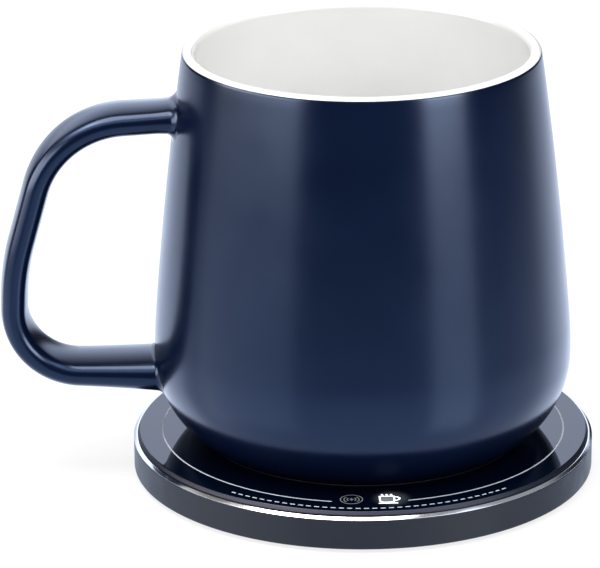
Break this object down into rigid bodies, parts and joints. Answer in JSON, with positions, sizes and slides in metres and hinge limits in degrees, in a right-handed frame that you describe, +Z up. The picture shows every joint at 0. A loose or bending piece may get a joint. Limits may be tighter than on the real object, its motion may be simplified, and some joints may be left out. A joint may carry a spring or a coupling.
{
  "type": "self-heating mug",
  "caption": "Navy ceramic mug with a white inside and a loop handle, kept warm by induction on a flat round glass-topped pad that it lifts off.",
  "frame": {"origin": "middle of the pad on the table that its feet stand on", "axes": "+Z up through the pad and the mug, -X towards the mug's handle, -Y towards the pad's front with the lit signs, +Y towards the power port"},
  "size_m": [0.1338, 0.105, 0.0993],
  "materials": {
    "navy_glaze": "satin",
    "black_glass": "polished black tempered glass",
    "bright_trim": "polished",
    "charcoal_shell": "fine matt",
    "black_plastic": "matt",
    "grey_rubber": "matt",
    "silicone": "satin",
    "steel": "plain",
    "copper_wire": "lacquered",
    "circuit_board": "solder mask",
    "ferrite": "matt",
    "mica": "matt",
    "frosted_plastic": "frosted",
    "chip_black": "moulded",
    "capacitor_tan": "plain"
  },
  "bodies": {
    "pad": {"glass_top": "black_glass", "trim_ring": "bright_trim", "housing": "charcoal_shell", "base_cover": "black_plastic", "coil_carrier": "black_plastic", "light_box": "black_plastic", "port_tongue": "black_plastic", "rubber_foot_1": "grey_rubber", "rubber_foot_2": "grey_rubber", "rubber_foot_3": "grey_rubber", "rubber_foot_4": "grey_rubber", "glass_seal": "grey_rubber", "base_screws": "steel", "board_screws": "steel", "port_shell": "steel", "heating_coil": "copper_wire", "temperature_sensor": "copper_wire", "main_board": "circuit_board", "ferrite_plate": "ferrite", "filter_inductor": "ferrite", "insulating_sheet": "mica", "diffuser_1": "frosted_plastic", "diffuser_2": "frosted_plastic", "status_led_1": "frosted_plastic", "status_led_2": "frosted_plastic", "control_chip": "chip_black", "power_transistor_1": "chip_black", "power_transistor_2": "chip_black", "power_transistor_3": "chip_black", "power_transistor_4": "chip_black", "resonance_capacitor_1": "capacitor_tan", "resonance_capacitor_2": "capacitor_tan", "resonance_capacitor_3": "capacitor_tan", "resonance_capacitor_4": "capacitor_tan"},
    "mug": {"mug_body": "navy_glaze", "mug_handle": "navy_glaze", "heating_plate": "steel", "heater_seal": "silicone"}
  },
  "joints": [
    {"name": "mug_lift", "type": "slide", "parent": "pad", "child": "mug", "axis": [0, 0, 1], "range_m": [0, 0.15]}
  ]
}
